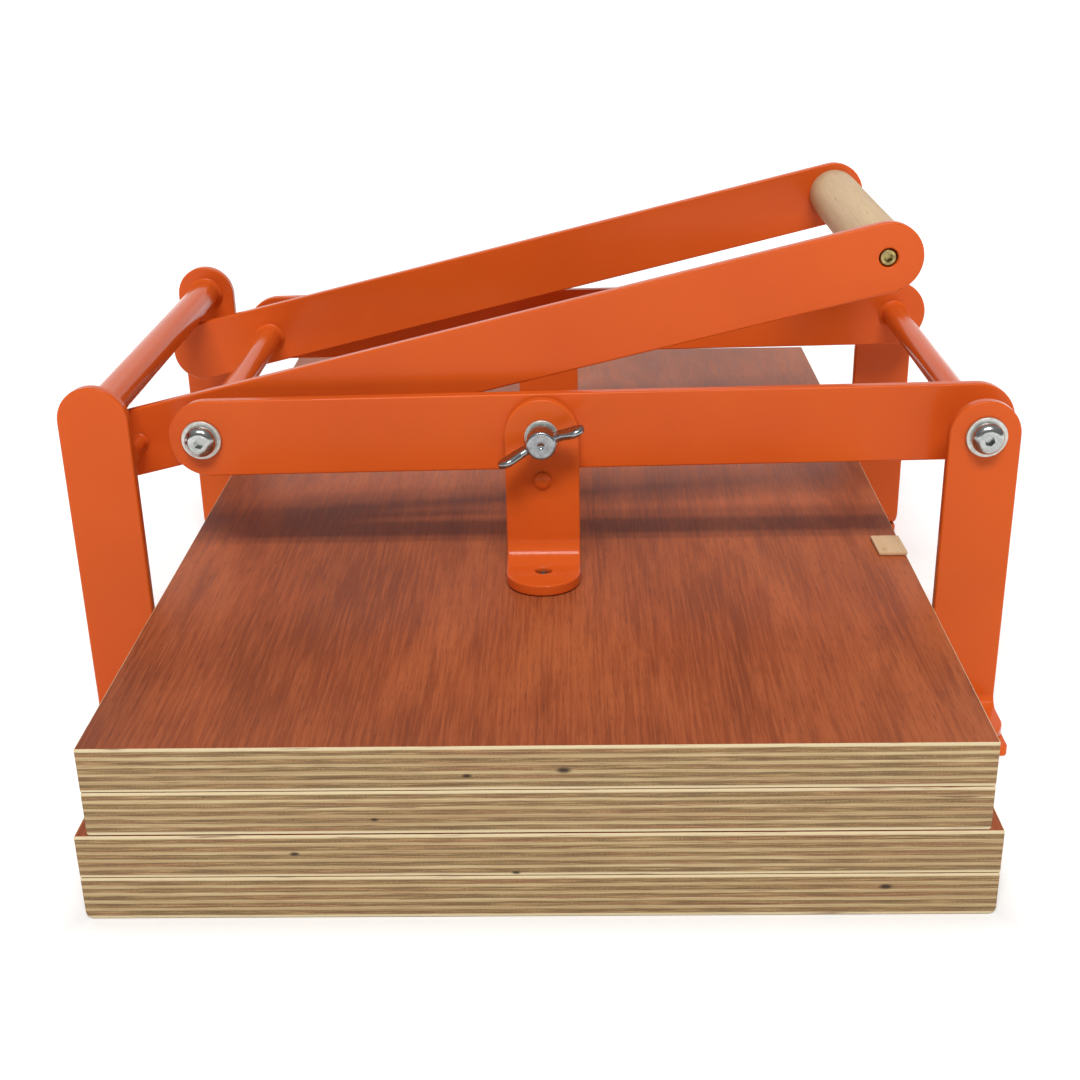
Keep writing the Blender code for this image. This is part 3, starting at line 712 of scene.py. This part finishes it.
def bent_bar(node, bend, upright_hole, foot_hole):
    """An L of flat bar: a straight strip with round ends and holes, bent outwards into a foot.

    upright_hole is a centre, as (x, z), and a radius. foot_hole is a distance from the middle plane and
    a radius.
    """
    low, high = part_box(node)
    side = -1 if low.y < 0 else 1
    near, tip = reach(node)
    face = near + FLAT_THICKNESS
    top = high.z
    foot_top = low.z + FLAT_THICKNESS
    middle_x = (low.x + high.x) / 2
    radius = (high.x - low.x) / 2
    neutral = bend + FLAT_THICKNESS / 2
    bend_start = top - foot_top - bend
    bend_end = bend_start + neutral * math.pi / 2
    length = bend_end + tip - face - bend

    def outline(inset):
        return capsule((radius, 0), (length - radius, 0), radius - inset)

    holes = []
    if upright_hole:
        center, hole_radius = upright_hole
        holes.append(round_hole((top - center[1], center[0] - middle_x), hole_radius))
    hole_reach, hole_radius = foot_hole
    holes.append(round_hole((bend_end + hole_reach - face - bend, 0), hole_radius))
    shape = plate(outline, holes, FLAT_THICKNESS, FLAT_EDGE)

    for i in range(BEND_STEPS + 1):
        cut = bend_start + (bend_end - bend_start) * i / BEND_STEPS
        everything = shape.verts[:] + shape.edges[:] + shape.faces[:]
        bmesh.ops.bisect_plane(shape, geom=everything, plane_co=(cut, 0, 0), plane_no=(1, 0, 0))

    for vert in shape.verts:
        s, across, height = vert.co
        depth = FLAT_THICKNESS / 2 - height
        if s <= bend_start:
            out, z = face - depth, top - s
        elif s < bend_end:
            angle = (s - bend_start) / neutral
            out = face + bend - (bend + depth) * math.cos(angle)
            z = foot_top + bend - (bend + depth) * math.sin(angle)
        else:
            out, z = face + bend + s - bend_end, foot_top - depth
        vert.co = (middle_x + across, side * out, z)
    piece(shape, node, ORANGE)


def bent_bars():
    for side in SIDES:
        strap_low, strap_high = reach(f"cross_strap_{side}")
        foot_hole = ((strap_low + strap_high) / 2, FOOT_SCREW_HOLE)
        bent_bar(f"upright_left_{side}", UPRIGHT_BEND, None, foot_hole)
        bent_bar(f"upright_right_{side}", UPRIGHT_BEND, (RIGHT_PIVOT, HOLE), foot_hole)
        near, far = reach(f"bracket_screw_{side}")
        foot_hole = ((near + far) / 2, BRACKET_SCREW_HOLE)
        bent_bar(f"platen_bracket_{side}", BRACKET_BEND, (PLATEN_PIVOT, PLATEN_HOLE), foot_hole)


def straps():
    for side in SIDES:
        node = f"cross_strap_{side}"
        low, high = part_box(node)
        middle_y = (low.y + high.y) / 2
        holes = []
        for hand in HANDS:
            for kind, radius in (("foot", FOOT_SCREW_HOLE), ("strap", STRAP_SCREW_HOLE)):
                screw_x = axis_of(f"{kind}_screw_{hand}_{side}").x
                holes.append(round_hole((screw_x, middle_y), radius))

        def outline(inset):
            return rounded_box((low.x, low.y), (high.x, high.y), [2 * MM] * 4, inset)

        shape = plate(outline, holes, high.z - low.z, 0.7 * MM)
        moved(shape, 0, 0, (low.z + high.z) / 2)
        piece(shape, node, ORANGE)


# Turned pieces


def weld_ripple(angle):
    """The gentle unevenness of a hand-laid weld under paint."""
    wave = math.sin(5 * angle + 1.1) + 0.6 * math.sin(11 * angle + 0.4) + 0.3 * math.sin(17 * angle)
    return WELD_RIPPLE * wave


def welded_rod(node, rod_radius, bored):
    """A round bar whose ends flare into weld fillets, and are bored where a bolt goes in."""
    _, half = reach(node)
    flare = radius_of(node)
    land = 0.9 * MM
    steps = 7
    turns = [math.radians(90 * i / steps) for i in range(steps + 1)]
    end = [(flare - 0.5 * MM, half)]
    end += [
        (flare - (flare - rod_radius) * math.sin(t), half - land - WELD_FILLET * (1 - math.cos(t)))
        for t in turns
    ]
    if bored:
        bottom = half - BOLT_BORE_DEPTH
        end = [(0, bottom), (HOLE, bottom), (HOLE, half), *end]
    else:
        end = [(0, half), *end]
    profile = end + [(radius, -height) for radius, height in reversed(end)]

    def ripple(angle, radius, height):
        on_weld = abs(height) > half - WELD_FILLET and rod_radius < radius < flare + MM
        return weld_ripple(angle) if on_weld else 0.0

    return turned(profile, TURN_STEPS, ripple)


def rods():
    for node, rod_radius in ROD_RADII.items():
        bored = node != "left_brace_rod"
        shape = along_y(welded_rod(node, rod_radius, bored), axis_of(node), 1)
        piece(shape, node, ORANGE, crease=50)


def handle_dowel():
    _, half = reach("handle_dowel")
    radius = radius_of("handle_dowel")
    bore = 2.8 * MM
    bottom = half - 30 * MM
    edge = 0.9 * MM
    end = [(0, bottom), (bore, bottom), (bore, half), (radius - edge, half)]
    end += [(radius - edge * 0.3, half - edge * 0.3), (radius, half - edge)]
    end += [(radius, half - span * MM) for span in (20, 40, 60)]
    profile = end + [(r, -height) for r, height in reversed(end)]
    piece(along_y(turned(profile, DOWEL_STEPS), HANDLE, 1), "handle_dowel", BEECH, crease=50)


def ring_piece(node, inner, center, side, material, edge):
    """A washer, spacer or bush with eased edges."""
    near, far = reach(node)
    outer = radius_of(node)
    corners = [(outer, far), (outer, near), (inner, near), (inner, far), (outer, far)]
    around = rounded(corners, edge)[1:-1]
    last = rounded([(inner, far), (outer, far), (outer, near)], edge)[1:-1]
    shape = turned(around + last, TURN_STEPS)
    piece(along_y(shape, center, side), node, material, crease=50)


def bolt(node, center, side):
    """A domed head with an eased rim and a hexagon socket, on a plain shank."""
    near, far = reach(node)
    head = radius_of(node)
    seat = far - BOLT_HEAD_HEIGHT
    chamfer = 0.8 * MM
    profile = [(0, far), *dome(0.5 * head, head, seat, BOLT_HEAD_HEIGHT, 0.22, 12)]
    profile += [(head, seat + 0.3 * MM), (head - 0.25 * MM, seat), (BOLT_SHANK, seat)]
    profile += [(BOLT_SHANK, near + chamfer), (BOLT_SHANK - chamfer, near), (0, near)]
    socket = hexagon(BOLT_SOCKET, far - 2.4 * MM, far + 2 * MM, math.radians(17))
    shape = carved(turned(profile, TURN_STEPS), [socket], node)
    piece(along_y(shape, center, side), node, ZINC, crease=32)


def fulcrum(side, sign):
    """A bush on the left upright, and the arm's pin in it, with a weld flare where it meets the arm."""
    node = f"fulcrum_bush_{side}"
    ring_piece(node, FULCRUM_BORE, FULCRUM, sign, ORANGE, 0.4 * MM)
    node = f"fulcrum_pin_{side}"
    near, far = reach(node)
    radius = radius_of(node)
    flare = 1.2 * MM
    profile = rounded([(0, far), (radius, far), (radius, near + flare)], 0.6 * MM)
    profile += [(radius + flare * 0.35, near + flare * 0.4), (radius + flare, near), (0, near)]
    pin = along_y(turned(profile, TURN_STEPS), FULCRUM, sign)
    piece(pin, node, ORANGE, crease=50)


def pivot_hardware():
    for side, sign in SIDES.items():
        for hand, center in (("left", LEVER_PIVOT), ("right", RIGHT_PIVOT)):
            bolt(f"{hand}_bolt_{side}", center, sign)
            ring_piece(f"{hand}_washer_{side}", HOLE, center, sign, SATIN_ZINC, 0.35 * MM)
            ring_piece(f"{hand}_spacer_{side}", HOLE, center, sign, ORANGE, 0.6 * MM)
        fulcrum(side, sign)


# Screws


def upright_screw(profile, cutters, node, material):
    """A screw on a vertical axis, its drive cut by the cutters, at its node's place."""
    low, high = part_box(node)
    center = (low + high) / 2
    shape = carved(turned(profile, SMALL_TURN_STEPS), cutters, node)
    piece(moved(shape, center.x, center.y, 0), node, material, crease=32)


def cross_slot(half_length, half_width, low, high):
    return [
        block((-half_length, -half_width, low), (half_length, half_width, high)),
        block((-half_width, -half_length, low), (half_width, half_length, high)),
    ]


def foot_screw(node):
    """A button head with a hexagon socket."""
    low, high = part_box(node)
    head = radius_of(node)
    height = 3 * MM
    shank = 3 * MM
    seat = high.z - height
    profile = [(0, high.z), *dome(0.5 * head, head, seat, height, 0.22, 8)]
    profile += [(head, seat), (shank, seat), (shank, low.z), (0, low.z)]
    socket = hexagon(2 * MM, high.z - 1.8 * MM, high.z + MM)
    upright_screw(profile, [socket], node, ZINC)


def strap_screw(node):
    """A countersunk wood screw, point up, with a cross slot."""
    low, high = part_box(node)
    head = radius_of(node)
    shank = 2.2 * MM
    point = 3 * MM
    thread_steps = 5
    profile = [(0, high.z), (0.4 * MM, high.z), (shank, high.z - point)]
    for i in range(thread_steps):
        level = high.z - point - i * 1.2 * MM
        profile += [(shank, level - 0.2 * MM), (shank - 0.5 * MM, level - 0.7 * MM)]
        profile.append((shank, level - 1.1 * MM))
    profile += [(shank, low.z + 2.5 * MM), (head, low.z + 0.2 * MM), (head - 0.1 * MM, low.z), (0, low.z)]
    slot = cross_slot(2.6 * MM, 0.55 * MM, low.z - MM, low.z + 1.4 * MM)
    upright_screw(profile, slot, node, SATIN_ZINC)


def bracket_screw(node):
    """A pan head with a cross slot, sunk in the bracket's foot."""
    low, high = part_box(node)
    head = radius_of(node)
    top = high.z
    shank = 2 * MM
    seat = top - 3 * MM
    profile = [(0, top - 0.1 * MM), (head * 0.6, top - 0.05 * MM), (head - 0.5 * MM, top - 0.4 * MM)]
    profile += [(head, top - 1.2 * MM), (head, seat), (shank, seat), (shank, low.z), (0, low.z)]
    slot = cross_slot(2 * MM, 0.45 * MM, top - 1.3 * MM, top + MM)
    upright_screw(profile, slot, node, ZINC)


def upright_screws():
    for side in SIDES:
        for hand in HANDS:
            foot_screw(f"foot_screw_{hand}_{side}")
            strap_screw(f"strap_screw_{hand}_{side}")
        bracket_screw(f"bracket_screw_{side}")


def handle_screws():
    """A barrel head sunk in the arm, with a hexagon socket in a shallow cup."""
    shank = 2.4 * MM
    rim = 0.5 * MM
    for side, sign in SIDES.items():
        node = f"handle_screw_{side}"
        near, far = reach(node)
        head = radius_of(node)
        seat = far - 4.3 * MM
        profile = [(0, far), (head - rim, far), (head, far - rim), (head, seat)]
        profile += [(shank, seat), (shank, near + 3 * MM), (0, near)]
        top = far + MM
        cup = turned([(0, top), (2.3 * MM, top), (1.8 * MM, far - rim), (0, far - rim)], CUP_STEPS)
        socket = hexagon(1.9 * MM, far - 2.6 * MM, top)
        shape = carved(turned(profile, SMALL_TURN_STEPS), [cup, socket], node)
        piece(along_y(shape, HANDLE, sign), node, BRASS, crease=32)


# Platen clamps


def wing_blade(near, far):
    """A wing in the plane of the nut's axis: it leaves the boss and rises outwards to a round tip."""
    tip = Vector((15.5 * MM, near + WING_NUT_LENGTH))
    tip_radius = 4.4 * MM
    root_low = Vector((4.5 * MM, near + 2.6 * MM))
    root_high = Vector((4.5 * MM, far - 1.4 * MM))

    def outline(inset):
        low = [root_low + Vector((0, inset)), Vector((9 * MM, near + 4.4 * MM + inset))]
        high = [Vector((9 * MM, far + 0.4 * MM - inset)), root_high - Vector((0, inset))]
        return low + arc(tip, tip_radius - inset, -58, 128, 20) + high

    return plate(outline, [], 3.2 * MM, 1.4 * MM)


def melted(shape, name):
    """A casting's soft corners: the shape remeshed in fine voxels and smoothed."""
    obj = to_object(shape, name)
    melt = obj.modifiers.new("melt", "REMESH")
    melt.mode = "VOXEL"
    melt.voxel_size = 0.3 * MM
    soften = obj.modifiers.new("soften", "SMOOTH")
    soften.factor = 0.5
    soften.iterations = 5
    applied(obj)
    made = bmesh.new()
    made.from_mesh(obj.data)
    bpy.data.objects.remove(obj)
    return made


def wing_nut(side, sign):
    """A cast nut: a boss that narrows to its foot, closed at its outer end, and two wings."""
    node = f"wing_nut_{side}"
    near = reach(f"clamp_washer_{side}")[1] + GAP
    far = near + WING_NUT_LENGTH
    boss = WING_NUT_BOSS
    foot = WING_NUT_FOOT
    bore_end = near + WING_NUT_BORE_DEPTH
    profile = [(0, far - 0.7 * MM), (0.8 * MM, far - 0.6 * MM), (1.3 * MM, far - 0.05 * MM)]
    profile += [(boss - 0.8 * MM, far), (boss - 0.25 * MM, far - 0.25 * MM), (boss, far - 0.8 * MM)]
    profile += [(boss, near + 3 * MM), (foot, near + 0.9 * MM), (foot, near + 0.15 * MM)]
    profile += [(foot - 0.2 * MM, near), (WING_NUT_BORE, near), (WING_NUT_BORE, bore_end), (0, bore_end)]
    upright = Matrix.Rotation(math.pi / 2, 4, "X")
    wings = []
    for turn in (0, math.pi):
        wing = wing_blade(near, far)
        wing.transform(Matrix.Rotation(WING_NUT_TILTS[side] + turn, 4, "Z") @ upright)
        wings.append(wing)
    shape = melted(carved(turned(profile, TURN_STEPS), wings, node, "UNION"), f"{node}_cast")
    place = axis_of(f"clamp_stud_{side}")
    piece(along_y(shape, place, sign), node, CAST_ZINC, crease=60)


def clamp_stud(side, sign):
    """A round head behind the bar and a threaded shank out to the wing nut."""
    node = f"clamp_stud_{side}"
    near, far = reach(node)
    head = radius_of(node)
    bar_back, _ = reach(f"pressure_bar_{side}")
    seat = bar_back - GAP
    shank = BOLT_SHANK
    level = bar_back + 2 * FLAT_THICKNESS
    profile = [(0, near), (head - 1.2 * MM, near), (head - 0.3 * MM, near + 0.5 * MM)]
    profile += [(head, near + 1.4 * MM), (head, seat), (shank, seat), (shank, level)]
    while level + STUD_PITCH < far - 0.6 * MM:
        profile += [(shank, level + 0.1 * MM), (shank - 0.45 * MM, level + STUD_PITCH / 2)]
        level += STUD_PITCH
        profile.append((shank, level))
    profile += [(shank - 0.6 * MM, far), (0, far)]
    stud = along_y(turned(profile, TURN_STEPS), PLATEN_PIVOT, sign)
    piece(stud, node, SATIN_ZINC, crease=32)


def bracket_stub(side, sign):
    node = f"bracket_stub_{side}"
    near, far = reach(node)
    radius = radius_of(node)
    turns = [math.radians(84 * i / 12) for i in range(13)]
    crown = [(radius * math.sin(t), near + (far - near) * math.cos(t) ** 0.6) for t in turns]
    stub = turned([*crown, (radius, near), (0, near)], TURN_STEPS)
    piece(along_y(stub, axis_of(node), sign), node, ORANGE, crease=60)


def platen_clamps():
    for side, sign in SIDES.items():
        clamp_stud(side, sign)
        washer = f"clamp_washer_{side}"
        ring_piece(washer, HOLE, PLATEN_PIVOT, sign, SATIN_ZINC, 0.4 * MM)
        wing_nut(side, sign)
        bracket_stub(side, sign)


# Stage, light and camera


FLOOR_SIZE = 14
FLOOR_DROP = 0.2 * MM
FLOOR_GLOW = 0.25
# The floor's glow fades out towards the board over this reach, which paints a contact shadow.
FLOOR_PAINTED_SHADOW_REACH = 18 * MM  # from the board, where the glow is full
FLOOR_GLOW_FAR = 0.7
FLOOR_FAR_START = 0.2
FLOOR_FAR_END = 1.3
WORLD_GREYS = ((0.0, 0.16), (0.2, 0.20), (0.55, 0.27), (1.0, 0.36))  # from the horizon up
BACKDROP = 1.15  # the bright background behind the object
KEY_DISTANCE = 8.0
KEY_IRRADIANCE = 2.6
KEY_STRIPS = ((52.5, 0.5), (58.5, 0.5))  # elevation in degrees, and share of the light
KEY_SIZE = (4.2, 0.45)


def stage():
    """A pale floor, its glow keeping it evenly bright, and dimmer where it meets the base board: a painted
    contact shadow.
    """
    shape = bmesh.new()
    bmesh.ops.create_grid(shape, x_segments=1, y_segments=1, size=FLOOR_SIZE)
    floor = to_object(moved(shape, 0, 0, -FLOOR_DROP), "floor")
    n = Nodes("floor_paper", Roughness=0.9, Specular_IOR_Level=0.1, Emission_Color=(1, 1, 1, 1))
    point, x, y, _ = n.place()
    tone = n.mix(n.noise(point, 3, 2), (0.88, 0.88, 0.88), (0.9, 0.9, 0.9))
    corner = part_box("base_lower_sheet")[1]
    beside = n.minus(n.math("ABSOLUTE", x), corner.x)
    before = n.minus(n.math("ABSOLUTE", y), corner.y)
    outside = n.math("MAXIMUM", beside, before)
    # Painted contact shadow: the glow fades to nothing at the board.
    near = n.spread(outside, 0.0, FLOOR_PAINTED_SHADOW_REACH, 0.0, FLOOR_GLOW)
    far = n.spread(outside, FLOOR_FAR_START, FLOOR_FAR_END, 0.0, FLOOR_GLOW_FAR)
    glow = n.math("ADD", near, far)
    floor.data.materials.append(n.finish(Base_Color=tone, Emission_Strength=glow))


class WorldNodes(Nodes):
    """The same calls for the world's node tree."""

    def __init__(self, world):
        world.use_nodes = True
        self.tree = world.node_tree
        self.shader = self.tree.nodes["Background"]

    def eased(self, factor, low, high):
        made = self.add("ShaderNodeMapRange", Value=factor, From_Min=low, From_Max=high)
        made.interpolation_type = "SMOOTHSTEP"
        return made.outputs[0]


def surroundings():
    """Soft grey all round, brighter upwards, with a bright backdrop low down behind the object."""
    world = bpy.data.worlds.new("studio")
    bpy.context.scene.world = world
    n = WorldNodes(world)
    direction = n.add("ShaderNodeTexCoord").outputs["Generated"]
    split = n.add("ShaderNodeSeparateXYZ", Vector=direction)
    behind = n.eased(split.outputs["Y"], 0.25, 0.75)
    low = n.eased(split.outputs["Z"], 0.75, 0.45)
    dim = n.ramp(split.outputs["Z"], WORLD_GREYS)
    shade = n.mix(n.times(behind, low), dim, (BACKDROP, BACKDROP, BACKDROP))
    n.set(n.shader.inputs["Color"], shade)


def lights():
    for i, (elevation, share) in enumerate(KEY_STRIPS):
        strip = bpy.data.lights.new(f"key_{i}", "AREA")
        strip.shape = "RECTANGLE"
        strip.size, strip.size_y = KEY_SIZE
        strip.energy = share * KEY_IRRADIANCE * math.pi * KEY_DISTANCE**2
        lamp = bpy.data.objects.new(f"key_{i}", strip)
        bpy.context.scene.collection.objects.link(lamp)
        height = math.radians(elevation)
        lamp.location = KEY_DISTANCE * Vector((0, -math.cos(height), math.sin(height)))
        lamp.rotation_euler = (math.pi / 2 - height, 0, 0)


SENSOR = 36  # mm
CAMERA_PLACE = Vector((15.9, -717.4, 349.7)) * MM
YAW = math.radians(-1.49)
PITCH = math.radians(23.02)
ROLL = math.radians(-1.22)
FOCAL = 51.16  # mm
CLIP_START = 0.01
CLIP_END = 100


def camera():
    down = -math.sin(PITCH)
    forward = Vector((math.sin(YAW) * math.cos(PITCH), math.cos(YAW) * math.cos(PITCH), down))
    level = Vector((math.cos(YAW), -math.sin(YAW), 0))
    above = level.cross(forward)
    right = math.cos(ROLL) * level + math.sin(ROLL) * above
    up = math.cos(ROLL) * above - math.sin(ROLL) * level
    data = bpy.data.cameras.new("camera")
    data.lens = FOCAL
    data.sensor_width = SENSOR
    data.clip_start = CLIP_START
    data.clip_end = CLIP_END
    obj = bpy.data.objects.new("camera", data)
    bpy.context.scene.collection.objects.link(obj)
    turn = Matrix((right, up, -forward)).transposed()
    obj.matrix_world = Matrix.Translation(CAMERA_PLACE) @ turn.to_4x4()
    bpy.context.scene.camera = obj


boards()
edge_tab()
linkage_bars()
bent_bars()
straps()
rods()
handle_dowel()
pivot_hardware()
upright_screws()
handle_screws()
platen_clamps()
stage()
surroundings()
lights()
camera()
bpy.context.scene.view_settings.view_transform = "Standard"
